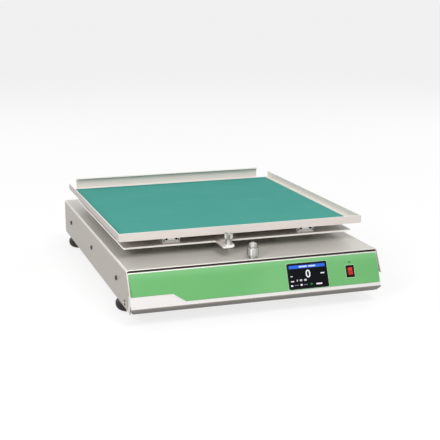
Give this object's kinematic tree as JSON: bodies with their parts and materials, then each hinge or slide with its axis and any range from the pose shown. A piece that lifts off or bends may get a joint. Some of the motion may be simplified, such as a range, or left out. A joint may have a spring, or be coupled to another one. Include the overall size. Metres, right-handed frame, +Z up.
{
  "type": "laboratory shaker",
  "caption": "Low bench shaker: a rimmed tray on two crossed slides, moved round by a belt-driven crank inside a sheet metal case with a sloping control panel.",
  "frame": {"origin": "centre of the footprint, on the surface that the feet stand on", "axes": "+Z up, -Y towards the control panel, +X to the right of someone who faces the panel"},
  "size_m": [0.4588, 0.6249, 0.15],
  "materials": {
    "painted_steel": "fine light grey powder coat",
    "bright_panel": "satin, finely brushed",
    "green_film": "printed film, semi-gloss",
    "mat_rubber": "matt, finely grained",
    "foot_rubber": "matt",
    "black_plastic": "fine moulded texture",
    "screen_glass": "gloss",
    "rocker_red": "translucent, gloss",
    "chrome": "polished",
    "machined_steel": "ground",
    "plated_steel": "zinc plated",
    "circuit_board": "solder resist",
    "motor_black": "stoved black"
  },
  "bodies": {
    "case": {"base_pan": "painted_steel", "bearing_housing": "machined_steel", "control_board": "circuit_board", "cover_screw_left_front": "machined_steel", "cover_screw_left_middle": "machined_steel", "cover_screw_left_rear": "machined_steel", "cover_screw_right_front": "machined_steel", "cover_screw_right_middle": "machined_steel", "cover_screw_right_rear": "machined_steel", "cross_rail_front": "machined_steel", "cross_rail_rear": "machined_steel", "crossbar_front": "plated_steel", "crossbar_rear": "plated_steel", "display_housing": "black_plastic", "display_window": "screen_glass", "drive_belt": "black_plastic", "drive_motor": "motor_black", "foot_front_left": "foot_rubber", "foot_front_right": "foot_rubber", "foot_rear_left": "foot_rubber", "foot_rear_right": "foot_rubber", "front_facing": "green_film", "front_panel": "bright_panel", "lock_post": "chrome", "motor_bracket": "plated_steel", "power_inlet": "black_plastic", "power_supply": "plated_steel", "power_switch": "black_plastic", "rear_panel": "painted_steel", "shaft_bearing_lower": "chrome", "shaft_bearing_upper": "chrome", "top_cover": "painted_steel"},
    "carriage": {"carriage_plate": "bright_panel", "lock_bar": "bright_panel", "cross_block_front_left": "machined_steel", "cross_block_front_right": "machined_steel", "cross_block_rear_left": "machined_steel", "cross_block_rear_right": "machined_steel", "side_block_left_front": "machined_steel", "side_block_left_rear": "machined_steel", "side_block_right_front": "machined_steel", "side_block_right_rear": "machined_steel"},
    "tray": {"tray": "painted_steel", "tray_mat": "mat_rubber", "tray_back_rail": "painted_steel", "tray_hub": "machined_steel", "side_rail_left": "machined_steel", "side_rail_right": "machined_steel"},
    "crank": {"crank_shaft": "machined_steel", "crank_disc": "machined_steel", "counterweight": "machined_steel", "crank_pin": "chrome", "pin_bearing": "chrome", "crank_pulley": "machined_steel"},
    "motor_rotor": {"motor_shaft": "machined_steel", "motor_pulley": "machined_steel"},
    "rocker": {"switch_rocker": "rocker_red"},
    "thumb_screw": {"lock_screw": "chrome"}
  },
  "joints": [
    {"name": "carriage_slide", "type": "slide", "parent": "case", "child": "carriage", "axis": [1, 0, 0], "range_m": [-0.008, 0.008]},
    {"name": "tray_slide", "type": "slide", "parent": "carriage", "child": "tray", "axis": [0, 1, 0], "range_m": [-0.016, 0]},
    {"name": "crank_spin", "type": "hinge", "parent": "case", "child": "crank", "pos_m": [0, 0.00777, 0.065], "axis": [0, 0, 1], "continuous": true},
    {"name": "motor_spin", "type": "hinge", "parent": "case", "child": "motor_rotor", "pos_m": [0, 0.13377, 0.039], "axis": [0, 0, 1], "continuous": true},
    {"name": "power_rocker", "type": "hinge", "parent": "case", "child": "rocker", "pos_m": [0.17, -0.30114, 0.05936], "axis": [1, 0, 0], "range_deg": [0, 14]},
    {"name": "thumb_screw_turn", "type": "hinge", "parent": "carriage", "child": "thumb_screw", "pos_m": [-0.037, -0.25123, 0.114], "axis": [0, 0, 1], "range_deg": [0, 360]}
  ],
  "couplings": [
    {"joint": "motor_spin", "follows": "crank_spin", "ratio": 3}
  ]
}
